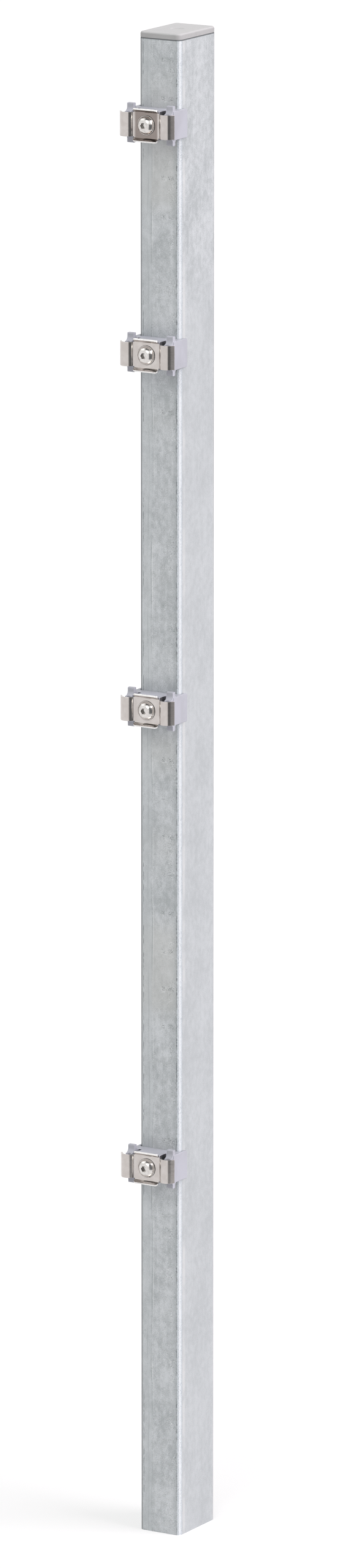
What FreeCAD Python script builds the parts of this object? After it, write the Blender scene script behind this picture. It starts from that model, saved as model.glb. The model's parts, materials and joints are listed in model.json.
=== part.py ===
import FreeCAD
import Part

import math
import os

# Metal fence post: a rectangular steel tube with a push-in cap and four clamps for fence mats.
# Each clamp is a moulded saddle, a stainless clip plate, a button-head screw and a rivet nut.
# Millimetres, +Z up. The origin is on the tube's axis at its foot, and the clamps face -Y.

Vector = FreeCAD.Vector

# Allowances of the model itself
nearly_zero = 1e-6
overcut = 1.0

# Tube
post_width = 40.0
post_depth = 60.0
post_length = 1300.0
post_wall = 2.0
post_corner = 4.5

# Clamps, counted from the top of the tube
first_clamp_drop = 70.0
clamp_pitches = (195.0, 305.0, 400.0)

# Mat wire that each side of a clamp holds
wire_diameter = 6.0
wire_offset = 19.2
wire_pinch = 0.05

# End cap
rim_height = 5.3
rim_round = 1.8
rim_shadow_edge = 0.5
dimple_diameter = 12.0
dimple_floor_diameter = 9.0
dimple_depth = 0.6
plug_length = 20.0
plug_wall = 1.8
plug_gap = 1.0
rib_width = 1.5
fin_count = 3
fin_height = 1.2
fin_clearance = 0.1
fin_first_drop = 4.0
fin_pitch = 5.5

# Saddle
cheek_thickness = 2.45
cheek_clearance = 0.15
cheek_reach = 9.2
cheek_front = 13.8
cheek_step = 0.4
cheek_corner = 2.0
saddle_height = 24.4
web_thickness = 8.5
boss_width = 24.0
boss_front = 19.4
seat_width = 6.0
seat_front = 19.0
groove_depth = 1.4
seat_drop = 2.4
tongue_rise = 4.6
tongue_thickness = 3.9
tongue_flare = 4.2
tongue_heel = 2.2
tongue_round = 0.8
saddle_throat = 3.0
saddle_round = 1.2
saddle_edge = 0.5
saddle_soft_edge = 0.35
flange_pocket_clearance = 0.25

# Clip plate
sheet = 1.5
clip_height = 20.6
arch_inner_radius = 5.2
bend_radius = 2.0
lip_angle = 55.0
lip_length = 3.6
tab_width = 23.6
tab_bend_radius = 1.75
tab_angle = 60.0
tab_run = 3.7
tab_corner = 2.2

# Screw and rivet nut
screw_diameter = 8.0
screw_length = 35.0
screw_tip_chamfer = 1.0
screw_hole_clearance = 0.4
collar_diameter = 17.0
collar_thickness = 0.6
collar_round = 0.25
head_diameter = 15.8
head_height = 5.0
head_flat_diameter = 7.2
dome_bulge = 0.6
hex_sides = 6
socket_flats = 5.0
socket_depth = 2.6
thread_clearance = 0.05
nut_body_diameter = 11.0
nut_length = 12.0
nut_hole_clearance = 0.05
flange_diameter = 14.0
flange_thickness = 1.2
bulge_diameter = 14.4
bulge_length = 4.5

# Places that several pieces share
front_face = post_depth / 2
plate_middle = boss_front + sheet / 2
screw_seat = boss_front + sheet
wire_radius = wire_diameter / 2
wire_ahead = seat_front - groove_depth + wire_radius
pocket_depth = flange_thickness + flange_pocket_clearance
screw_hole_radius = screw_diameter / 2 + screw_hole_clearance
cheek_inner = post_width / 2 + cheek_clearance
cheek_outer = cheek_inner + cheek_thickness


def clamp_heights():
    heights = [post_length - first_clamp_drop]
    for pitch in clamp_pitches:
        heights.append(heights[-1] - pitch)
    return heights


# Flat shapes


def rounded_face(corners):
    # A closed outline from (x, y, radius) corners, each turned into a tangent arc
    arcs = []
    for index, (x, y, radius) in enumerate(corners):
        corner = Vector(x, y, 0)
        before = corners[index - 1]
        after = corners[(index + 1) % len(corners)]
        back = (Vector(before[0], before[1], 0) - corner).normalize()
        ahead = (Vector(after[0], after[1], 0) - corner).normalize()
        half = back.getAngle(ahead) / 2
        middle = (back + ahead).normalize()
        cut = radius / math.tan(half)
        bulge = radius / math.sin(half) - radius
        arcs.append((corner + back * cut, corner + middle * bulge, corner + ahead * cut))
    edges = []
    for index, (start, middle, end) in enumerate(arcs):
        if start.distanceToPoint(end) > nearly_zero:
            edges.append(Part.Arc(start, middle, end).toShape())
        next_start = arcs[(index + 1) % len(arcs)][0]
        if end.distanceToPoint(next_start) > nearly_zero:
            edges.append(Part.LineSegment(end, next_start).toShape())
    return Part.Face(Part.Wire(edges))


def rectangle_face(width, depth, radius):
    corners = []
    for side_x, side_y in ((-1, -1), (1, -1), (1, 1), (-1, 1)):
        corners.append((side_x * width / 2, side_y * depth / 2, radius))
    return rounded_face(corners)


def sheet_face(start, steps):
    # A strip of sheet seen edge on: it leaves the start along +X and follows straight runs
    # ("run", length) and bends ("bend", middle radius, degrees to the left)
    sides = {1: [], -1: []}
    point = start
    heading = 0.0
    for step in steps:
        normal = Vector(-math.sin(heading), math.cos(heading), 0)
        if step[0] == "run":
            end = point + Vector(math.cos(heading), math.sin(heading), 0) * step[1]
            for side, edges in sides.items():
                shift = normal * (side * sheet / 2)
                edges.append(Part.LineSegment(point + shift, end + shift).toShape())
            point = end
        else:
            turn = math.radians(step[2])
            centre = point + normal * math.copysign(step[1], turn)
            spoke = point - centre
            for side, edges in sides.items():
                reach = 1 - side * math.copysign(sheet / 2, turn) / step[1]
                stops = [centre + turned(spoke, turn * part) * reach for part in (0, 0.5, 1)]
                edges.append(Part.Arc(*stops).toShape())
            point = centre + turned(spoke, turn)
            heading += turn
    ends = []
    for pick in (0, -1):
        corners = [edges[pick].Vertexes[pick].Point for edges in sides.values()]
        ends.append(Part.LineSegment(*corners).toShape())
    outline = Part.__sortEdges__(sides[1] + sides[-1] + ends)
    return Part.Face(Part.Wire(outline))


def turned(vector, angle):
    x = vector.x * math.cos(angle) - vector.y * math.sin(angle)
    y = vector.x * math.sin(angle) + vector.y * math.cos(angle)
    return Vector(x, y, 0)


# Solids


def prism(face, low, high):
    solid = face.extrude(Vector(0, 0, high - low))
    solid.translate(Vector(0, 0, low))
    return solid


def upright(face, low, high):
    # Extrudes a profile drawn with X as height and Y as distance ahead from X = low to X = high
    placed = face.copy()
    placed.rotate(Vector(0, 0, 0), Vector(0, 1, 0), -90)
    placed.translate(Vector(low, 0, 0))
    return placed.extrude(Vector(high - low, 0, 0))


def turned_solid(profile):
    # Revolves a profile drawn with X as radius and Y as distance ahead about the screw's axis
    return profile.revolve(Vector(0, 0, 0), Vector(0, 1, 0), 360)


def bore(radius, low, high):
    return Part.makeCylinder(radius, high - low, Vector(0, low, 0), Vector(0, 1, 0))


def both_sides(solid):
    return [solid, solid.mirror(Vector(0, 0, 0), Vector(1, 0, 0))]


def above_and_below(solid):
    return [solid, solid.mirror(Vector(0, 0, 0), Vector(0, 0, 1))]


def on_post(solid, height):
    # Clamp pieces are drawn with Y as distance ahead of the post's face, then turned to face -Y
    placed = solid.copy()
    placed.rotate(Vector(0, 0, 0), Vector(0, 0, 1), 180)
    placed.translate(Vector(0, -front_face, height))
    return placed


# Pieces


def post_tube():
    bore_width = post_width - 2 * post_wall
    bore_depth = post_depth - 2 * post_wall
    outside = prism(rectangle_face(post_width, post_depth, post_corner), 0, post_length)
    inside = prism(rectangle_face(bore_width, bore_depth, post_corner - post_wall), 0, post_length)
    holes = []
    hole = bore(nut_body_diameter / 2 + nut_hole_clearance, -2 * post_wall, post_wall)
    for height in clamp_heights():
        holes.append(on_post(hole, height))
    return outside.cut([inside] + holes)


def end_cap():
    rim = prism(rectangle_face(post_width, post_depth, post_corner), 0, rim_height)
    top_edges = [edge for edge in rim.Edges if edge.CenterOfMass.z > rim_height - nearly_zero]
    rim = rim.makeFillet(rim_round, top_edges)
    low_edges = [edge for edge in rim.Edges if edge.CenterOfMass.z < nearly_zero]
    rim = rim.makeChamfer(rim_shadow_edge, low_edges)
    dimple = Part.makeCone(dimple_floor_diameter / 2, dimple_diameter / 2, dimple_depth,
                           Vector(0, 0, rim_height - dimple_depth))
    rim = rim.cut(dimple)

    inset = post_wall + plug_gap
    plug_width = post_width - 2 * inset
    plug_depth = post_depth - 2 * inset
    plug_corner = post_corner - post_wall
    room_width = plug_width - 2 * plug_wall
    room_depth = plug_depth - 2 * plug_wall
    plug = prism(rectangle_face(plug_width, plug_depth, plug_corner), -plug_length, 0)
    room = prism(rectangle_face(room_width, room_depth, plug_corner / 2), -plug_length, 0)
    skirt = plug.cut(room)
    pieces = [
        Part.makeBox(room_width, rib_width, plug_length,
                     Vector(-room_width / 2, -rib_width / 2, -plug_length)),
        Part.makeBox(rib_width, room_depth, plug_length,
                     Vector(-rib_width / 2, -room_depth / 2, -plug_length)),
    ]
    # Springy fins stand on the plug's flat sides and leave its corners free
    fin_reach = plug_gap - fin_clearance
    flat_width = plug_width - 2 * plug_corner
    flat_depth = plug_depth - 2 * plug_corner
    for index in range(fin_count):
        low = -fin_first_drop - index * fin_pitch - fin_height
        for width, depth in ((plug_width + 2 * fin_reach, flat_depth),
                             (flat_width, plug_depth + 2 * fin_reach)):
            fins = Part.makeBox(width, depth, fin_height, Vector(-width / 2, -depth / 2, low))
            pieces.append(fins.cut(plug))
    cap = rim.fuse([skirt] + pieces).removeSplitter()
    cap.translate(Vector(0, 0, post_length))
    return cap


def saddle_outline():
    # Plan of the saddle: it hugs the post behind, and has a boss between two wire seats ahead
    seat_outer = cheek_outer - cheek_step
    seat_inner = seat_outer - seat_width
    right = [
        (cheek_inner, 0, saddle_throat),
        (cheek_inner, -cheek_reach, saddle_edge),
        (cheek_outer, -cheek_reach, saddle_round),
        (cheek_outer, cheek_front, 0),
        (seat_outer, cheek_front, 0),
        (seat_outer, seat_front, saddle_edge),
        (seat_inner, seat_front, saddle_edge),
        (seat_inner, web_thickness, saddle_round),
        (boss_width / 2, web_thickness, saddle_round),
        (boss_width / 2, boss_front, saddle_edge),
    ]
    left = [(-x, y, radius) for x, y, radius in reversed(right)]
    return rounded_face(right + left)


def tongue():
    # Thin lip that stands above a wire seat, flaring forward into the lowered seat at its foot
    top = saddle_height / 2
    foot = top - seat_drop
    front = seat_front - tongue_flare
    back = front - tongue_thickness
    sunk = foot - tongue_round
    profile = rounded_face([
        (sunk, back - tongue_heel, 0),
        (top, back - tongue_heel, 0),
        (top, back, tongue_heel),
        (top + tongue_rise, back, tongue_round),
        (top + tongue_rise, front, tongue_round),
        (foot, front, tongue_flare),
        (foot, seat_front, 0),
        (sunk, seat_front, 0),
    ])
    seat_outer = cheek_outer - cheek_step
    return upright(profile, seat_outer - seat_width, seat_outer)


def above_seat():
    # Room over a wire seat, ahead of its tongue
    reach = seat_width + cheek_step
    return Part.makeBox(reach, tongue_flare + overcut, seat_drop + overcut,
                        Vector(cheek_outer - reach, seat_front - tongue_flare, saddle_height / 2 - seat_drop))


def behind_cheek():
    # Wedge that clips a cheek's rear corner
    top = saddle_height / 2
    rear = -cheek_reach
    wedge = rounded_face([
        (top + overcut, rear - overcut, 0),
        (top + overcut, rear + cheek_corner + overcut, 0),
        (top - cheek_corner - overcut, rear - overcut, 0),
    ])
    return upright(wedge, cheek_inner - overcut, cheek_outer + overcut)


def wire_saddle():
    top = saddle_height / 2
    body = prism(saddle_outline(), -top, top)
    rim_edges = [edge for edge in body.Edges if edge.BoundBox.ZLength < saddle_soft_edge]
    body = body.makeChamfer(saddle_soft_edge, rim_edges)
    rooms = []
    tongues = []
    for room in both_sides(above_seat()) + both_sides(behind_cheek()):
        rooms += above_and_below(room)
    for lip in both_sides(tongue()):
        tongues += above_and_below(lip)
    body = body.cut(rooms).fuse(tongues).removeSplitter()
    groove_end = top + tongue_rise + overcut
    groove = Part.makeCylinder(wire_radius, 2 * groove_end,
                               Vector(wire_offset, wire_ahead, -groove_end))
    cuts = both_sides(groove)
    cuts.append(bore(screw_hole_radius, -overcut, boss_front + overcut))
    pocket_radius = flange_diameter / 2 + flange_pocket_clearance
    cuts.append(bore(pocket_radius, -overcut, pocket_depth))
    return body.cut(cuts)


def clip_plate():
    arch_radius = arch_inner_radius + sheet / 2
    arch_ahead = wire_ahead + wire_radius + wire_pinch - arch_inner_radius
    bend_ahead = plate_middle + bend_radius
    drop = bend_ahead - arch_ahead
    spread = math.sqrt((arch_radius + bend_radius) ** 2 - drop ** 2)
    rise = math.atan2(spread, drop)
    arm_start = wire_offset - spread
    arm_face = sheet_face(Vector(0, plate_middle, 0), [
        ("run", arm_start),
        ("bend", bend_radius, math.degrees(rise)),
        ("bend", arch_radius, -math.degrees(rise) - lip_angle),
        ("run", lip_length),
    ])
    edge = clip_height / 2
    arms = both_sides(prism(arm_face, -edge, edge))
    tab_face = sheet_face(Vector(edge, plate_middle, 0), [
        ("bend", tab_bend_radius, tab_angle),
        ("run", tab_run),
    ])
    tab = upright(tab_face, -tab_width / 2, tab_width / 2)
    rim_corners = [line for line in tab.Edges
                   if abs(line.Length - sheet) < nearly_zero and line.CenterOfMass.y > screw_seat]
    tab = tab.makeFillet(tab_corner, rim_corners)
    plate = arms[0].fuse([arms[1]] + above_and_below(tab)).removeSplitter()
    return plate.cut(bore(screw_hole_radius, boss_front - overcut, screw_seat + overcut))


def clamp_screw():
    shank = screw_diameter / 2
    tip = screw_seat - screw_length
    collar = collar_diameter / 2
    collar_top = screw_seat + collar_thickness
    shoulder = Vector(head_diameter / 2, collar_top, 0)
    crown = Vector(head_flat_diameter / 2, screw_seat + head_height, 0)
    dome_middle = (shoulder + crown) * 0.5 + Vector(dome_bulge, dome_bulge, 0)
    corners = [
        crown,
        Vector(0, screw_seat + head_height, 0),
        Vector(0, tip, 0),
        Vector(shank - screw_tip_chamfer, tip, 0),
        Vector(shank, tip + screw_tip_chamfer, 0),
        Vector(shank, screw_seat, 0),
        Vector(collar, screw_seat, 0),
        Vector(collar, collar_top - collar_round, 0),
        Vector(collar - collar_round, collar_top, 0),
        shoulder,
    ]
    edges = [Part.LineSegment(a, b).toShape() for a, b in zip(corners, corners[1:])]
    edges.append(Part.Arc(shoulder, dome_middle, crown).toShape())
    solid = turned_solid(Part.Face(Part.Wire(edges)))
    socket_corner = socket_flats / 2 / math.cos(math.pi / hex_sides)
    socket_points = []
    for step in range(hex_sides):
        angle = 2 * math.pi * step / hex_sides
        socket_points.append(Vector(socket_corner * math.cos(angle), 0,
                                    socket_corner * math.sin(angle)))
    socket_face = Part.Face(Part.makePolygon(socket_points + socket_points[:1]))
    socket = socket_face.extrude(Vector(0, socket_depth + overcut, 0))
    socket.translate(Vector(0, screw_seat + head_height - socket_depth, 0))
    return solid.cut(socket)


def rivet_nut():
    # Set nut: a flange outside the wall, a barrel through it and an upset bulge behind it
    thread = screw_diameter / 2 + thread_clearance
    barrel = nut_body_diameter / 2
    bulge = bulge_diameter / 2
    behind = -post_wall
    profile = rounded_face([
        (thread, flange_thickness, 0),
        (thread, -nut_length, 0),
        (barrel, -nut_length, 0),
        (barrel, behind - bulge_length, 0),
        (bulge, behind - bulge_length / 2, 0),
        (bulge, behind, 0),
        (barrel, behind, 0),
        (barrel, 0, 0),
        (flange_diameter / 2, 0, 0),
        (flange_diameter / 2, flange_thickness, 0),
    ])
    return turned_solid(profile)


def make_nodes():
    nodes = {"post_tube": post_tube(), "end_cap": end_cap()}
    saddle = wire_saddle()
    clip = clip_plate()
    screw = clamp_screw()
    nut = rivet_nut()
    heights = clamp_heights()
    for number, height in enumerate(heights, 1):
        nodes["wire_saddle_%d" % number] = on_post(saddle, height)
        nodes["clip_plate_%d" % number] = on_post(clip, height)
    nodes["clamp_screws"] = Part.makeCompound([on_post(screw, height) for height in heights])
    nodes["rivet_nuts"] = Part.makeCompound([on_post(nut, height) for height in heights])
    return nodes


def main():
    os.makedirs("parts", exist_ok=True)
    for name, shape in make_nodes().items():
        shape.exportStep("parts/%s.step" % name)
        print(name, len(shape.Solids), "solid", "valid" if shape.isValid() else "NOT VALID",
              round(shape.Volume), "mm3")


main()
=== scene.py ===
import bpy
import json
import math
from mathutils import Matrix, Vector

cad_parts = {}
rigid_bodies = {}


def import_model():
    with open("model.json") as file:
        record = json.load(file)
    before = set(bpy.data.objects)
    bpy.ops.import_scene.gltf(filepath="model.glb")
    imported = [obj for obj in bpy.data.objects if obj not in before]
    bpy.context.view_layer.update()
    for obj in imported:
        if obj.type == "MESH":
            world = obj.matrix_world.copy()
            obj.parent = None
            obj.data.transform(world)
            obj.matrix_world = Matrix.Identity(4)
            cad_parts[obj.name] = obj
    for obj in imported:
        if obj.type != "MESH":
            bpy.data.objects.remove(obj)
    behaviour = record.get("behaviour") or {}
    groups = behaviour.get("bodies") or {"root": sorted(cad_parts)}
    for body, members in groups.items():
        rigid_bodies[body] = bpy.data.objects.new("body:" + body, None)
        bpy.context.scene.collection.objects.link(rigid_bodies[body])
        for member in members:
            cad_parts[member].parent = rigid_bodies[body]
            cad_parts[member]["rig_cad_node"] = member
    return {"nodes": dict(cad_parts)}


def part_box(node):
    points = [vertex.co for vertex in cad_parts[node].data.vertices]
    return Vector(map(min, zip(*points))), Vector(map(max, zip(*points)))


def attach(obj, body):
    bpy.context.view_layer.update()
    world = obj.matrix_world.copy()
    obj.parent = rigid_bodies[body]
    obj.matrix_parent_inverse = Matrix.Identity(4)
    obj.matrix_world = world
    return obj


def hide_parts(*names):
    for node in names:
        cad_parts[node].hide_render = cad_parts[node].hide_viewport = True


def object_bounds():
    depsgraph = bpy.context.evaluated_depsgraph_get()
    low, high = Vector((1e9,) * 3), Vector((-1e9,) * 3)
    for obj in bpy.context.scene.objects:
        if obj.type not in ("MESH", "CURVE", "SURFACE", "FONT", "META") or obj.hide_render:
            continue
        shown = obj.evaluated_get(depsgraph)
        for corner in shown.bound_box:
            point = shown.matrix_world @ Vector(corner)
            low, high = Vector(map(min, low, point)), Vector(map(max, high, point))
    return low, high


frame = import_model()  # metres, the post stands on the origin and its clamps face -Y
cadLow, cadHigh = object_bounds()
nodes = frame["nodes"]

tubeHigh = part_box("post_tube")[1]
tube = {
    "halfWidth": tubeHigh.x,
    "halfDepth": tubeHigh.y,
    "length": tubeHigh.z,
    "corner": 0.0045,
}
flatWidth = tube["halfWidth"] - tube["corner"]  # half of each face's flat part
flatDepth = tube["halfDepth"] - tube["corner"]

clampNumbers = range(1, 5)  # from the top down
clampHeights = []
for number in clampNumbers:
    clipLow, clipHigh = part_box("clip_plate_%d" % number)
    clampHeights.append((clipLow.z + clipHigh.z) / 2)


# Selecting and finishing meshes

edges = {
    "merge": 1e-6,
    "flat": 0.5,  # degrees, flatter joins between facets are dissolved
    "sharp": 38,  # degrees, sharper edges are rounded
    "steps": 2,
}


def pick(piece):
    bpy.ops.object.select_all(action="DESELECT")
    piece.select_set(True)
    bpy.context.view_layer.objects.active = piece


def applyModifiers(piece):
    pick(piece)
    for modifier in list(piece.modifiers):
        bpy.ops.object.modifier_apply(modifier=modifier.name)


def softCopy(node, name, width):
    # Copy of a CAD node with its doubles merged and its sharp edges rounded
    pick(node)
    bpy.ops.object.duplicate()
    copy = bpy.context.object
    copy.name = name
    copy.data.name = name
    del copy["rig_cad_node"]
    copy.data.materials.clear()
    bpy.ops.object.mode_set(mode="EDIT")
    bpy.ops.mesh.select_all(action="SELECT")
    bpy.ops.mesh.customdata_custom_splitnormals_clear()
    bpy.ops.mesh.remove_doubles(threshold=edges["merge"])
    bpy.ops.mesh.dissolve_limited(angle_limit=math.radians(edges["flat"]))
    bpy.ops.object.mode_set(mode="OBJECT")
    bevel = copy.modifiers.new("edges", "BEVEL")
    bevel.width = width
    bevel.segments = edges["steps"]
    bevel.limit_method = "ANGLE"
    bevel.angle_limit = math.radians(edges["sharp"])
    applyModifiers(copy)
    bpy.ops.object.shade_smooth_by_angle(angle=math.radians(edges["sharp"]))
    flat = copy.modifiers.new("flat", "WEIGHTED_NORMAL")
    flat.keep_sharp = True
    applyModifiers(copy)
    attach(copy, "root")
    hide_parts(node.name)
    return copy


# Building materials

def newFinish(name):
    material = bpy.data.materials.new(name)
    material.use_nodes = True
    tree = material.node_tree
    return material, tree, tree.nodes["Principled BSDF"]


def onObject(tree):
    return tree.nodes.new("ShaderNodeTexCoord").outputs["Object"]


def feed(tree, socket, value):
    if isinstance(value, bpy.types.NodeSocket):
        tree.links.new(value, socket)
    elif hasattr(value, "__len__") and len(value) == 3 and socket.type == "RGBA":
        socket.default_value = (*value, 1)
    else:
        socket.default_value = value


def calc(tree, kind, first, second=0.0):
    node = tree.nodes.new("ShaderNodeMath")
    node.operation = kind
    feed(tree, node.inputs[0], first)
    feed(tree, node.inputs[1], second)
    return node.outputs[0]


def times(tree, first, *others):
    for other in others:
        first = calc(tree, "MULTIPLY", first, other)
    return first


def plus(tree, first, *others):
    for other in others:
        first = calc(tree, "ADD", first, other)
    return first


def minus(tree, first, *others):
    for other in others:
        first = calc(tree, "SUBTRACT", first, other)
    return first


def larger(tree, first, second):
    return calc(tree, "MAXIMUM", first, second)


def fade(tree, value, low, high, start=0.0, end=1.0):
    # Smooth change from start to end while the value goes from low to high
    node = tree.nodes.new("ShaderNodeMapRange")
    node.interpolation_type = "SMOOTHSTEP"
    feed(tree, node.inputs["Value"], value)
    for socket, number in zip(("From Min", "From Max", "To Min", "To Max"), (low, high, start, end)):
        node.inputs[socket].default_value = number
    return node.outputs["Result"]


def strip(tree, value, centre, half, soft):
    # 1 within half of the centre, fading to 0 over the soft width
    away = calc(tree, "ABSOLUTE", minus(tree, value, centre))
    return fade(tree, away, half, half + soft, 1.0, 0.0)


def stretched(tree, place, scale):
    node = tree.nodes.new("ShaderNodeMapping")
    feed(tree, node.inputs["Vector"], place)
    node.inputs["Scale"].default_value = scale
    return node.outputs["Vector"]


def grain(tree, place, scale, detail=2.0, rough=0.5):
    node = tree.nodes.new("ShaderNodeTexNoise")
    feed(tree, node.inputs["Vector"], place)
    node.inputs["Scale"].default_value = scale
    node.inputs["Detail"].default_value = detail
    node.inputs["Roughness"].default_value = rough
    return node.outputs[0]


def tint(tree, amount, under, over):
    node = tree.nodes.new("ShaderNodeMix")
    node.data_type = "RGBA"
    feed(tree, node.inputs[0], amount)
    feed(tree, node.inputs[6], under)
    feed(tree, node.inputs[7], over)
    return node.outputs[2]


def emboss(tree, shader, height, strength, depth):
    node = tree.nodes.new("ShaderNodeBump")
    node.inputs["Strength"].default_value = strength
    node.inputs["Distance"].default_value = depth
    feed(tree, node.inputs["Height"], height)
    tree.links.new(node.outputs["Normal"], shader.inputs["Normal"])


def parts(tree, place):
    node = tree.nodes.new("ShaderNodeSeparateXYZ")
    feed(tree, node.inputs[0], place)
    return node.outputs[0], node.outputs[1], node.outputs[2]


# Galvanised zinc: colours and gloss

zinc = {
    "dull": (0.425, 0.452, 0.463),
    "bright": (0.637, 0.661, 0.680),
    "clean": (0.575, 0.580, 0.560),
    "wiped": (0.545, 0.576, 0.590),
    "speck": (0.140, 0.155, 0.165),
    "fleck": (0.780, 0.800, 0.800),
    "line": (0.330, 0.360, 0.370),
    # Painted shade on the rolled corners
    "corner": (0.200, 0.210, 0.215),
    # Painted highlight on the near right corner, its dots, and the painted sheen beside it
    "highlightFlank": (0.640, 0.685, 0.712),
    "highlightCore": (0.835, 0.868, 0.890),
    "dot": (0.375, 0.425, 0.470),
    "sideSheen": (0.740, 0.740, 0.735),
    "metal": 0.45,
    "bandMetal": 0.05,
    "roughDull": 0.54,
    "roughBright": 0.42,
    "bump": 0.25,
    "bumpDepth": 0.00012,
    "capShadow": 0.85,
}


def tubePlaces(tree):
    # Where a point lies on the tube: how deep in a corner, and on which face
    place = onObject(tree)
    x, y, z = parts(tree, place)
    deep = calc(tree, "ABSOLUTE", y)
    intoCorner = calc(tree, "MINIMUM", minus(tree, calc(tree, "ABSOLUTE", x), flatWidth),
                      minus(tree, deep, flatDepth))
    narrowFace = fade(tree, deep, flatDepth + 0.0030, flatDepth + 0.0043)
    return {
        "place": place,
        "x": x,
        "y": y,
        "z": z,
        "intoCorner": intoCorner,
        "narrowFace": narrowFace,
        "wideFace": minus(tree, 1.0, narrowFace),
        "frontFace": times(tree, narrowFace, fade(tree, y, 0.0, -0.01)),
        "upright": stretched(tree, place, (0.02, 0.02, 1)),  # changes along the tube only
    }


# Clouded zinc: wide patches, mottling, fine grain and faint drawing lines, calmer on the wide faces

clouding = {
    "cloudScale": 34,
    "cloudShare": 0.30,
    "mottleScale": 210,
    "mottleShare": 0.34,
    "fineScale": 1100,
    "fineShare": 0.28,
    "lineScale": 620,
    "lineShare": 0.08,
    "wideContrast": 0.50,
    "narrowContrast": 1.15,
    "topContrast": 1.0,  # the least contrast on any face near the top
    "topFrom": 0.95,
    "topTo": 1.15,
    "cleanScale": 7,
    "clean": 0.50,
}


def cloudedZinc(tree, at):
    place = at["place"]
    clouds = grain(tree, stretched(tree, place, (1, 1, 0.7)), clouding["cloudScale"], 3, 0.55)
    mottle = grain(tree, stretched(tree, place, (1, 1, 0.8)), clouding["mottleScale"], 4, 0.65)
    fine = grain(tree, place, clouding["fineScale"])
    lines = grain(tree, stretched(tree, place, (1, 1, 0.012)), clouding["lineScale"])
    tone = plus(tree,
                times(tree, clouds, clouding["cloudShare"]), times(tree, mottle, clouding["mottleShare"]),
                times(tree, fine, clouding["fineShare"]), times(tree, lines, clouding["lineShare"]))
    contrast = larger(
        tree,
        fade(tree, at["narrowFace"], 0, 1, clouding["wideContrast"], clouding["narrowContrast"]),
        fade(tree, at["z"], clouding["topFrom"], clouding["topTo"], 0, clouding["topContrast"]))
    mixed = times(tree, minus(tree, fade(tree, tone, 0.36, 0.64), 0.5), contrast)
    colour = tint(tree, plus(tree, mixed, 0.5), zinc["dull"], zinc["bright"])

    # Some stretches of the front are clean and slightly warm
    at["drawn"] = grain(tree, at["upright"], clouding["cleanScale"], 1)
    clean = times(tree, fade(tree, at["drawn"], 0.50, 0.60), at["frontFace"], clouding["clean"])
    at["clouds"] = clouds
    at["tone"] = tone
    at["height"] = plus(tree, mottle, times(tree, fine, 0.4))
    return tint(tree, clean, colour, zinc["clean"])


# The strip beyond the weld seam was wiped smoother, and the seam shows as faint wandering lines

seamMarks = {
    "at": -0.0072,
    "wander": 0.0013,
    "wiped": 0.45,
    "dark": 0.40,
    "pale": 0.40,
    "paleAt": 0.0010,
    "second": 0.32,
    "secondAt": -0.0036,
}


def markSeam(tree, at, colour):
    front = at["frontFace"]
    sway = seamMarks["wander"]
    wander = fade(tree, grain(tree, at["upright"], 9), 0.3, 0.7, -sway, sway)
    fromSeam = minus(tree, at["x"], seamMarks["at"], wander)
    beyond = times(tree, fade(tree, fromSeam, 0, -0.0008), front)
    here = fade(tree, grain(tree, at["upright"], 16, 1), 0.42, 0.58)
    there = minus(tree, 1.0, here)
    dark = times(tree, strip(tree, fromSeam, 0, 0.0002, 0.0007), front, here, seamMarks["dark"])
    pale = times(tree, strip(tree, fromSeam, seamMarks["paleAt"], 0.0001, 0.0005), front, here,
                 seamMarks["pale"])
    second = times(tree, strip(tree, fromSeam, seamMarks["secondAt"], 0.0002, 0.0006), front, there,
                   seamMarks["second"])
    colour = tint(tree, times(tree, beyond, seamMarks["wiped"]), colour, zinc["wiped"])
    colour = tint(tree, dark, colour, zinc["line"])
    colour = tint(tree, pale, colour, zinc["fleck"])
    at["beyondSeam"] = beyond
    at["there"] = there
    return tint(tree, second, colour, zinc["line"])


# Dark specks and pale flecks in clusters, thicker towards the corners of the narrow faces

speckle = {
    "clusterScale": 70,
    "speckScale": 900,
    "fleckScale": 760,
    "midFace": 0.20,  # share of specks away from the corners
    "wideShare": 0.10,
    "narrowShare": 0.75,
    "wipedShare": 0.25,
}


def sprinkle(tree, at, colour):
    place = at["place"]
    clusters = grain(tree, stretched(tree, place, (1, 1, 0.6)), speckle["clusterScale"])
    clusters = times(tree, fade(tree, clusters, 0.44, 0.64),
                     fade(tree, at["intoCorner"], -0.0130, -0.0005, speckle["midFace"], 1.0),
                     fade(tree, at["narrowFace"], 0, 1, speckle["wideShare"], speckle["narrowShare"]),
                     fade(tree, at["beyondSeam"], 0, 1, 1.0, speckle["wipedShare"]))
    specks = grain(tree, place, speckle["speckScale"], 1)
    specks = times(tree, fade(tree, specks, 0.60, 0.68), clusters)
    flecks = grain(tree, stretched(tree, place, (1.2, 1.2, 1)), speckle["fleckScale"], 1)
    flecks = times(tree, fade(tree, flecks, 0.61, 0.69), clusters)
    at["specks"] = specks
    return tint(tree, flecks, tint(tree, specks, colour, zinc["speck"]), zinc["fleck"])


# Pale smudges and short dark scratches that the forming rolls left once a turn

rolls = {
    "pitch": 0.0333,
    "smudgeAt": 0.0050,
    "smudge": 0.40,
    "smudgeScale": 620,
    "innerScratchAt": 0.0040,
    "outerScratchAt": 0.0115,
    "scratchRise": 0.0012,
    "scratch": 0.85,
    "scratchScale": 1000,
}


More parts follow.
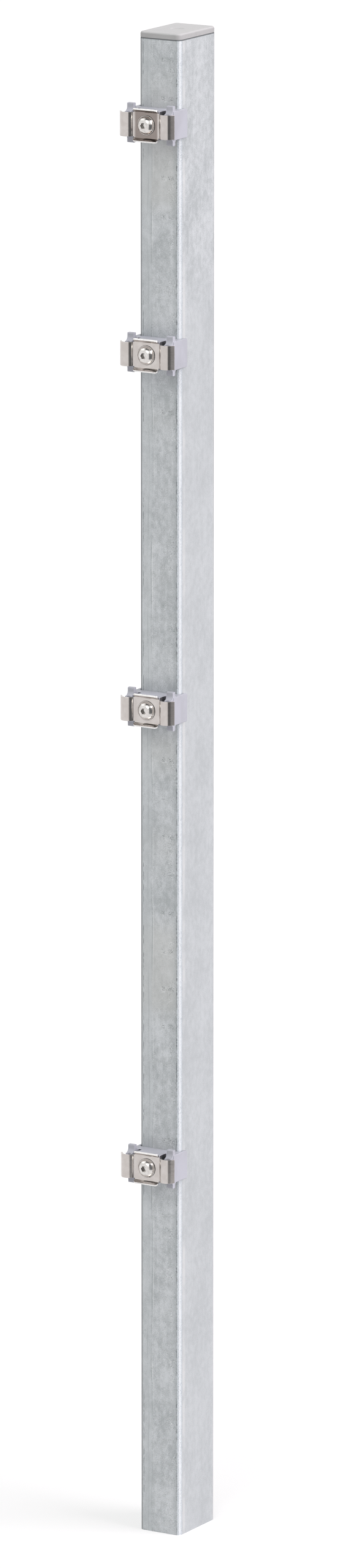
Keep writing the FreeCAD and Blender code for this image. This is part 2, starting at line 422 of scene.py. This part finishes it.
def markRolls(tree, at, colour):
    turn = calc(tree, "FRACT", calc(tree, "DIVIDE", at["z"], rolls["pitch"]))
    along = times(tree, minus(tree, turn, 0.5), rolls["pitch"])
    rolled = times(tree, fade(tree, at["drawn"], 0.46, 0.54), at["frontFace"])
    smudge = grain(tree, stretched(tree, at["place"], (0.5, 0.5, 1.3)), rolls["smudgeScale"])
    smudge = times(tree, strip(tree, along, 0, 0.0014, 0.0024),
                   strip(tree, at["x"], rolls["smudgeAt"], 0.0020, 0.0030),
                   fade(tree, smudge, 0.48, 0.62), rolled, rolls["smudge"])
    across = larger(tree, strip(tree, at["x"], rolls["innerScratchAt"], 0.0008, 0.0014),
                    strip(tree, at["x"], rolls["outerScratchAt"], 0.0018, 0.0020))
    scratches = grain(tree, at["place"], rolls["scratchScale"], 1)
    scratches = times(tree, strip(tree, along, rolls["scratchRise"], 0.0008, 0.0020), across,
                      fade(tree, scratches, 0.48, 0.66), rolled, rolls["scratch"])
    return tint(tree, scratches, tint(tree, smudge, colour, zinc["fleck"]), zinc["speck"])


# The three rolled corners away from the light get painted shade, with broken dark lines where the narrow
# faces turn into these corners

corners = {
    "cornerShade": 0.75,
    "dashes": 0.75,
    "dashScale": 800,
    "dashStretchScale": 45,
    "burnishedFrom": 0.0340,  # x - y, so only the near right corner
    "burnishedTo": 0.0430,
}


def shadeCorners(tree, at, colour):
    burnished = fade(tree, minus(tree, at["x"], at["y"]), corners["burnishedFrom"], corners["burnishedTo"])
    unburnished = minus(tree, 1.0, burnished)
    # Painted shade on the three corners away from the light
    cornerShade = times(tree, fade(tree, at["intoCorner"], 0.0008, 0.0024), unburnished, corners["cornerShade"])
    dashes = grain(tree, stretched(tree, at["place"], (1, 1, 0.26)), corners["dashScale"])
    dashes = fade(tree, dashes, 0.44, 0.56)
    dashStretch = grain(tree, stretched(tree, at["place"], (1, 1, 0.40)), corners["dashStretchScale"], 1)
    edge = times(tree, strip(tree, at["intoCorner"], 0.0001, 0.0001, 0.0004), at["narrowFace"], dashes,
                 fade(tree, dashStretch, 0.45, 0.53), unburnished, corners["dashes"])
    at["burnished"] = burnished
    at["dashes"] = dashes
    return tint(tree, edge, tint(tree, cornerShade, colour, zinc["corner"]), zinc["speck"])


# The near right corner gets a painted highlight: going round it, painted shade on the front, a broken dark
# line, a dotted band and a white ridge, and a painted sheen on the wide face beside it

burnish = {
    "wobble": 0.07,  # this and the places below are radians round the corner
    "darkAt": 0.32,
    "bandFrom": 0.36,
    "bandTo": 1.72,
    "coreFrom": 0.62,
    "coreTo": 1.30,
    "farAt": 1.55,
    "shade": 0.35,
    "far": 0.55,
    "sideSheen": 0.50,
    "sideSheenAt": -0.0028,
    "dotScale": 1500,
}


def paintCornerHighlight(tree, at, colour):
    place = at["place"]
    upright = at["upright"]
    sway = burnish["wobble"]
    wobble = grain(tree, stretched(tree, place, (1, 1, 0.8)), 800)
    angle = calc(tree, "ARCTAN2", minus(tree, at["x"], flatWidth), minus(tree, -flatDepth, at["y"]))
    angle = plus(tree, angle, fade(tree, wobble, 0.3, 0.7, -sway, sway))
    # Painted shade on the front face next to the highlight
    shaded = times(tree, fade(tree, angle, -0.75, 0.15), fade(tree, angle, 0.60, 0.40), burnish["shade"])
    # Painted highlight: the dotted band and its white core
    band = times(tree, fade(tree, angle, burnish["bandFrom"], burnish["bandFrom"] + 0.12),
                 fade(tree, angle, burnish["bandTo"], burnish["bandTo"] - 0.44))
    highlightCore = times(tree, fade(tree, angle, burnish["coreFrom"], burnish["coreFrom"] + 0.30),
                 fade(tree, angle, burnish["coreTo"], burnish["coreTo"] - 0.28))
    dots = times(tree, fade(tree, grain(tree, place, burnish["dotScale"], 1), 0.45, 0.62),
                 fade(tree, grain(tree, upright, 26), 0.38, 0.62, 0.25, 0.80),
                 fade(tree, highlightCore, 0, 1, 1.0, 0.45))
    highlightRidge = tint(tree, dots, tint(tree, highlightCore, zinc["highlightFlank"], zinc["highlightCore"]), zinc["dot"])
    darkLine = times(tree, strip(tree, angle, burnish["darkAt"], 0.04, 0.10),
                     fade(tree, at["dashes"], 0, 1, 0.25, 0.80),
                     fade(tree, grain(tree, upright, 20, 1), 0.40, 0.56, 0.2, 1.0))
    farLine = times(tree, strip(tree, angle, burnish["farAt"], 0.04, 0.12), at["dashes"], at["there"],
                    burnish["far"])
    # Painted sheen on the wide face beside the highlighted corner
    sideSheen = times(tree, strip(tree, at["intoCorner"], burnish["sideSheenAt"], 0.0008, 0.0024), at["wideFace"],
                   at["burnished"], fade(tree, at["clouds"], 0.35, 0.65), burnish["sideSheen"])
    at["band"] = band
    colour = tint(tree, shaded, colour, zinc["line"])
    colour = tint(tree, sideSheen, colour, zinc["sideSheen"])
    colour = tint(tree, band, colour, highlightRidge)
    colour = tint(tree, farLine, colour, zinc["dot"])
    return tint(tree, darkLine, colour, zinc["speck"])


def zincFinish():
    material, tree, shader = newFinish("galvanisedZinc")
    at = tubePlaces(tree)
    colour = cloudedZinc(tree, at)
    for step in (markSeam, sprinkle, markRolls, shadeCorners, paintCornerHighlight):
        colour = step(tree, at, colour)
    underCap = fade(tree, at["z"], tube["length"] - 0.0010, tube["length"] - 0.0004, 0, zinc["capShadow"])
    feed(tree, shader.inputs["Base Color"], tint(tree, underCap, colour, zinc["speck"]))
    # The painted highlight band is nearly not metallic
    feed(tree, shader.inputs["Metallic"], fade(tree, at["band"], 0, 1, zinc["metal"], zinc["bandMetal"]))
    rough = fade(tree, at["tone"], 0.3, 0.7, zinc["roughDull"], zinc["roughBright"])
    feed(tree, shader.inputs["Roughness"], plus(tree, rough, times(tree, at["specks"], 0.2)))
    emboss(tree, shader, minus(tree, at["height"], at["specks"]), zinc["bump"], zinc["bumpDepth"])
    return material


# Stainless sheet, its sheared edges, and the screws

stainless = {
    "sheet": (0.552, 0.514, 0.490),
    "sheetWorn": (0.612, 0.578, 0.556),
    # Painted dark reflection on the plate of the top clip
    "darkReflection": (0.215, 0.178, 0.160),
    "darkReflectionShare": 0.80,
    "darkReflectionHalf": 0.0098,
    "darkReflectionFrom": clampHeights[0] - 0.11,
    "darkReflectionTo": clampHeights[0] - 0.05,
    # Sheared edges, painted pale as a glint
    "cut": (0.850, 0.840, 0.830),
    "cutWorn": (0.740, 0.725, 0.710),
    "screw": (0.720, 0.698, 0.675),
    "screwDull": (0.600, 0.578, 0.556),
    # Painted shade on the screws' collars and socket walls
    "groove": (0.150, 0.142, 0.135),
    "grooveDull": (0.110, 0.105, 0.100),
}


def sheetFinish():
    material, tree, shader = newFinish("rolledStainless")
    place = onObject(tree)
    rolled = grain(tree, stretched(tree, place, (0.04, 0.04, 1)), 2600)
    handled = grain(tree, place, 120, 3, 0.6)
    colour = tint(tree, fade(tree, handled, 0.35, 0.70), stainless["sheet"], stainless["sheetWorn"])

    # The plate of the top clip gets a painted dark brown reflection
    x, _, z = parts(tree, place)
    darkReflected = times(tree, strip(tree, x, 0, stainless["darkReflectionHalf"], 0.0022),
                  fade(tree, z, stainless["darkReflectionFrom"], stainless["darkReflectionTo"]), stainless["darkReflectionShare"])
    feed(tree, shader.inputs["Base Color"], tint(tree, darkReflected, colour, stainless["darkReflection"]))
    shader.inputs["Metallic"].default_value = 1.0
    feed(tree, shader.inputs["Roughness"], fade(tree, rolled, 0.3, 0.7, 0.15, 0.20))
    emboss(tree, shader, rolled, 0.03, 0.00003)
    return material


def cutFinish():
    # Sheared edges of the sheet, painted pale as a glint along them
    material, tree, shader = newFinish("shearedEdgeGlint")
    sheared = grain(tree, onObject(tree), 900)
    feed(tree, shader.inputs["Base Color"],
         tint(tree, fade(tree, sheared, 0.3, 0.7), stainless["cut"], stainless["cutWorn"]))
    shader.inputs["Metallic"].default_value = 1.0
    feed(tree, shader.inputs["Roughness"], fade(tree, sheared, 0.3, 0.7, 0.30, 0.38))
    emboss(tree, shader, sheared, 0.05, 0.00005)
    return material


def screwFinish(name, clean, dull):
    material, tree, shader = newFinish(name)
    handled = grain(tree, onObject(tree), 400, 3, 0.6)
    feed(tree, shader.inputs["Base Color"], tint(tree, fade(tree, handled, 0.40, 0.75), clean, dull))
    shader.inputs["Metallic"].default_value = 1.0
    feed(tree, shader.inputs["Roughness"], fade(tree, handled, 0.3, 0.7, 0.17, 0.27))
    emboss(tree, shader, handled, 0.06, 0.00008)
    return material


# Moulded plastic of the saddles and the cap

plastic = {
    "saddle": (0.505, 0.514, 0.570),
    "saddleDull": (0.455, 0.463, 0.508),
    # Painted shade and dirt in the wire channels
    "hollowShadeAndDirt": (0.110, 0.110, 0.118),
    "hollowShadeAndDirtDull": (0.070, 0.070, 0.075),
    "cap": (0.470, 0.470, 0.468),
    "capDull": (0.425, 0.425, 0.423),
    # Painted lighter top of the cap
    "litTop": (0.620, 0.620, 0.618),
    "litTopShare": 0.80,
    "litTopFrom": cadHigh.z - 0.0015,
    "litTopTo": cadHigh.z - 0.0002,
}


def mouldedFinish(name, clean, dull):
    material, tree, shader = newFinish(name)
    place = onObject(tree)
    flow = grain(tree, stretched(tree, place, (1, 1, 0.6)), 55, 3, 0.55)
    pores = grain(tree, place, 1900)
    colour = tint(tree, fade(tree, flow, 0.40, 0.72), clean, dull)

    # Only the cap reaches this height: its top is painted lighter, as the light falls on it from above
    height = parts(tree, place)[2]
    litTop = fade(tree, height, plastic["litTopFrom"], plastic["litTopTo"], 0, plastic["litTopShare"])
    feed(tree, shader.inputs["Base Color"], tint(tree, litTop, colour, plastic["litTop"]))
    feed(tree, shader.inputs["Roughness"], fade(tree, pores, 0.3, 0.7, 0.42, 0.56))
    emboss(tree, shader, pores, 0.12, 0.00010)
    return material


# Zinc plating of the rivet nuts

plating = {
    "clear": (0.600, 0.600, 0.580),
    "cloudy": (0.480, 0.490, 0.480),
}


def platedFinish():
    material, tree, shader = newFinish("zincPlating")
    cloudy = grain(tree, onObject(tree), 300, 3)
    feed(tree, shader.inputs["Base Color"],
         tint(tree, fade(tree, cloudy, 0.35, 0.7), plating["clear"], plating["cloudy"]))
    shader.inputs["Metallic"].default_value = 1.0
    feed(tree, shader.inputs["Roughness"], fade(tree, cloudy, 0.3, 0.7, 0.28, 0.40))
    return material


# Tube, nuts and cap keep their CAD shape

def dress(node, material):
    node.data.materials.clear()
    node.data.materials.append(material)


zincMaterial = zincFinish()
dress(nodes["post_tube"], zincMaterial)
dress(nodes["rivet_nuts"], platedFinish())
dress(nodes["end_cap"], mouldedFinish("capPlastic", plastic["cap"], plastic["capDull"]))
print("tube, cap and nuts dressed")


# Weld seam: a low uneven bead on the narrow face, in lengths between the saddles

seam = {
    "at": seamMarks["at"],
    "halfWidth": 0.00070,
    "height": 0.00007,
    "sides": 12,
    "piece": 0.0030,
    "wander": 0.0030,
    "wanderSize": 0.120,
    "waver": 0.00025,
    "waverSize": 0.008,
    "smooth": 80,
}


def unsteady(bead, name, size, strength):
    modifier = bead.modifiers.new(name, "DISPLACE")
    modifier.texture = bpy.data.textures.new(name, "CLOUDS")
    modifier.texture.noise_scale = size
    modifier.texture_coords = "GLOBAL"
    modifier.direction = "X"
    modifier.strength = strength


def seamLength(low, high, number):
    bpy.ops.object.select_all(action="DESELECT")
    bpy.ops.mesh.primitive_cylinder_add(vertices=seam["sides"], radius=1, depth=1,
                                        location=(seam["at"], -tube["halfDepth"], (low + high) / 2))
    bead = bpy.context.object
    bead.name = "weldSeam%d" % number
    bead.scale = (seam["halfWidth"], seam["height"], high - low)
    bpy.ops.object.transform_apply(location=True, rotation=True, scale=True)

    # Only the long edges are cut into pieces
    bpy.ops.object.mode_set(mode="EDIT")
    bpy.ops.mesh.select_mode(type="EDGE")
    bpy.ops.mesh.select_all(action="DESELECT")
    bpy.ops.object.mode_set(mode="OBJECT")
    for edge in bead.data.edges:
        ends = [bead.data.vertices[index].co.z for index in edge.vertices]
        edge.select = abs(ends[0] - ends[1]) > (high - low) / 2
    bpy.ops.object.mode_set(mode="EDIT")
    bpy.ops.mesh.subdivide(number_cuts=int((high - low) / seam["piece"]))
    bpy.ops.object.mode_set(mode="OBJECT")
    unsteady(bead, "wander%d" % number, seam["wanderSize"], seam["wander"])
    unsteady(bead, "waver%d" % number, seam["waverSize"], seam["waver"])
    applyModifiers(bead)
    bpy.ops.object.shade_smooth_by_angle(angle=math.radians(seam["smooth"]))
    bead.data.materials.append(zincMaterial)
    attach(bead, "root")


stops = [0.0]
for number in reversed(clampNumbers):
    saddleLow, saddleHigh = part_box("wire_saddle_%d" % number)
    stops += [saddleLow.z, saddleHigh.z]
stops.append(tube["length"])
for number in range(len(stops) // 2):
    seamLength(stops[2 * number], stops[2 * number + 1], number + 1)
print("weld seam laid in", len(stops) // 2, "lengths")


# Clamps: softened copies of the moulded and pressed parts

clipSheet = {
    "edge": 0.00016,
    "thickness": 0.0015,
}


def markCutEdges(clip):
    # Faces with more metal behind them than the sheet's thickness are sheared edges
    for face in clip.data.polygons:
        inside = face.center - face.normal * 1e-5
        hit, place = clip.ray_cast(inside, -face.normal)[:2]
        if hit and (place - inside).length > 2 * clipSheet["thickness"]:
            face.material_index = 1


moulding = {
    "edge": 0.00030,
    "bossSide": 0.0120,
    "channelBack": -tube["halfDepth"] - 0.0085,
    "near": 0.0004,
}


def markHollows(saddle):
    # The walls of the two wire channels lie in deep shade and hold dirt; both are painted on them as one
    # near-black colour
    for face in saddle.data.polygons:
        side = abs(face.center.x) - moulding["bossSide"]
        depth = face.center.y - moulding["channelBack"]
        onBoss = abs(side) < moulding["near"] and depth < 0 and abs(face.normal.x) > 0.9
        onBack = abs(depth) < moulding["near"] and side > 0 and face.normal.y < -0.9
        if onBoss or onBack:
            face.material_index = 1


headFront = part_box("clamp_screws")[0].y
button = {
    "edge": 0.00015,
    "collarInner": 0.0079,
    "collarTop": headFront + 0.0041,
    "socketOuter": 0.0030,
    "socketFloor": headFront + 0.0029,
}


def markScrewShade(screws):
    # Painted shade lies on the thin collar under each dome, as a dark ring, and on the left and upper walls
    # of its socket
    for face in screws.data.polygons:
        for height in clampHeights:
            away = math.hypot(face.center.x, face.center.z - height)
            underDome = button["collarInner"] < away < 2 * button["collarInner"]
            onCollar = underDome and face.center.y > button["collarTop"]
            inSocket = away < button["socketOuter"] and face.center.y < button["socketFloor"]
            onWall = inSocket and abs(face.normal.y) < 0.3
            shaded = face.normal.x > 0.3 or face.normal.z < -0.3
            if onCollar or (onWall and shaded):
                face.material_index = 1


sheetMaterial = sheetFinish()
cutMaterial = cutFinish()
saddleMaterial = mouldedFinish("saddlePlastic", plastic["saddle"], plastic["saddleDull"])
hollowMaterial = mouldedFinish("hollowShadeAndDirtPlastic", plastic["hollowShadeAndDirt"], plastic["hollowShadeAndDirtDull"])
for number in clampNumbers:
    clip = softCopy(nodes["clip_plate_%d" % number], "clipSheet%d" % number, clipSheet["edge"])
    clip.data.materials.append(sheetMaterial)
    clip.data.materials.append(cutMaterial)
    markCutEdges(clip)
    saddle = softCopy(nodes["wire_saddle_%d" % number], "saddleMoulding%d" % number, moulding["edge"])
    saddle.data.materials.append(saddleMaterial)
    saddle.data.materials.append(hollowMaterial)
    markHollows(saddle)
screws = softCopy(nodes["clamp_screws"], "buttonScrews", button["edge"])
screws.data.materials.append(screwFinish("polishedStainless", stainless["screw"], stainless["screwDull"]))
screws.data.materials.append(screwFinish("shadedStainless", stainless["groove"], stainless["grooveDull"]))
markScrewShade(screws)
print("clamps dressed")


# Studio: pale floor, soft white surroundings, a broad light from the right and weak ones in front and left

studio = {
    "floorSize": 80,
    "floorColour": (0.50, 0.50, 0.50),
    "floorLift": 0.53,
    "low": 0.72,
    "zenith": 0.45,
    "lowShine": 1.00,  # what polished metal mirrors of the surroundings
    "zenithShine": 0.06,
    "shineFrom": 0.72,
    "shineTo": 0.95,
}


def studioFloor():
    bpy.ops.object.select_all(action="DESELECT")
    bpy.ops.mesh.primitive_plane_add(size=studio["floorSize"])
    floor = bpy.context.object
    floor.name = "studioFloor"
    material, tree, shader = newFinish("floorPaper")
    shader.inputs["Base Color"].default_value = (*studio["floorColour"], 1)
    shader.inputs["Roughness"].default_value = 1.0
    shader.inputs["Specular IOR Level"].default_value = 0.0
    shader.inputs["Emission Color"].default_value = (1, 1, 1, 1)
    light = tree.nodes.new("ShaderNodeLightPath")
    seen = larger(tree, light.outputs["Is Camera Ray"], light.outputs["Is Glossy Ray"])
    seen = larger(tree, seen, light.outputs["Is Transmission Ray"])
    feed(tree, shader.inputs["Emission Strength"], times(tree, seen, studio["floorLift"]))
    floor.data.materials.append(material)


def surroundings():
    world = bpy.data.worlds.new("softRoom")
    world.use_nodes = True
    tree = world.node_tree
    background = tree.nodes["Background"]
    background.inputs["Color"].default_value = (1, 1, 1, 1)
    rise = parts(tree, tree.nodes.new("ShaderNodeTexCoord").outputs["Generated"])[2]
    glossy = tree.nodes.new("ShaderNodeLightPath").outputs["Is Glossy Ray"]
    spread = fade(tree, rise, 0.1, 0.9, studio["low"], studio["zenith"])
    shine = fade(tree, rise, studio["shineFrom"], studio["shineTo"],
                 studio["lowShine"], studio["zenithShine"])
    mirrored = times(tree, minus(tree, shine, spread), glossy)
    feed(tree, background.inputs["Strength"], plus(tree, spread, mirrored))
    bpy.context.scene.world = world


def direction(azimuth, elevation):
    a = math.radians(azimuth)
    e = math.radians(elevation)
    return Vector((math.sin(a) * math.cos(e), -math.cos(a) * math.cos(e), math.sin(e)))


lamps = {
    "rightLight": {"from": (100, 28), "strength": 2.05, "spread": 50, "colour": (1.0, 0.93, 0.985)},
    "frontLight": {"from": (14, 38), "strength": 0.68, "spread": 30, "colour": (1.0, 1.0, 0.98)},
    "leftLight": {"from": (-70, 50), "strength": 0.25, "spread": 40, "colour": (1.0, 1.0, 1.0)},
}


def farLight(name, choice):
    bpy.ops.object.light_add(type="SUN")
    lamp = bpy.context.object
    lamp.name = name
    lamp.data.energy = choice["strength"]
    lamp.data.angle = math.radians(choice["spread"])
    lamp.data.color = choice["colour"]
    lamp.rotation_mode = "QUATERNION"
    lamp.rotation_quaternion = direction(*choice["from"]).to_track_quat("Z", "Y")


flag = {
    "from": (57, 0),
    "distance": 1.1,
    "aim": (0, 0, 0.7),
    "width": 1.30,
    "height": 1.6,
    "colour": (0.95, 0.97, 1),
    "grey": 0.16,
    "soft": 0.25,
}


def sideFlag():
    # Grey card that only shows in polished metal, with soft sides
    toCard = direction(*flag["from"])
    bpy.ops.object.select_all(action="DESELECT")
    bpy.ops.mesh.primitive_plane_add(size=1, location=Vector(flag["aim"]) + toCard * flag["distance"])
    card = bpy.context.object
    card.name = "sideFlag"
    card.scale = (flag["width"], flag["height"], 1)
    card.rotation_mode = "QUATERNION"
    card.rotation_quaternion = toCard.to_track_quat("Z", "Y")
    material, tree, shader = newFinish("sideFlagFelt")
    shader.inputs["Base Color"].default_value = (0, 0, 0, 1)
    shader.inputs["Specular IOR Level"].default_value = 0.0
    shader.inputs["Emission Color"].default_value = (*flag["colour"], 1)
    shader.inputs["Emission Strength"].default_value = flag["grey"]
    across = parts(tree, onObject(tree))[0]
    feed(tree, shader.inputs["Alpha"], strip(tree, across, 0, 0.5 - flag["soft"], flag["soft"]))
    card.data.materials.append(material)
    card.visible_camera = False
    card.visible_diffuse = False
    card.visible_shadow = False


studioFloor()
surroundings()
for name, choice in lamps.items():
    farLight(name, choice)
sideFlag()
print("studio set")


# Camera, fitted to the picture's 571 x 2560 frame

view = {
    "azimuth": 30.9,
    "elevation": 12.5,
    "distance": 8.5,
    "lens": 228.98,
    "aimSide": -0.00206,
    "aimHeight": 0.6566,
    "reach": 200,
}


def pictureCamera():
    bpy.ops.object.camera_add()
    camera = bpy.context.object
    camera.name = "pictureCamera"
    azimuth = math.radians(view["azimuth"])
    across = Vector((math.cos(azimuth), math.sin(azimuth), 0))
    aim = across * view["aimSide"] + Vector((0, 0, view["aimHeight"]))
    back = direction(view["azimuth"], view["elevation"])
    camera.location = aim + back * view["distance"]
    camera.rotation_mode = "QUATERNION"
    camera.rotation_quaternion = back.to_track_quat("Z", "Y")
    camera.data.lens = view["lens"]
    camera.data.clip_end = view["reach"]
    bpy.context.scene.camera = camera


pictureCamera()
bpy.context.scene.view_settings.view_transform = "Standard"
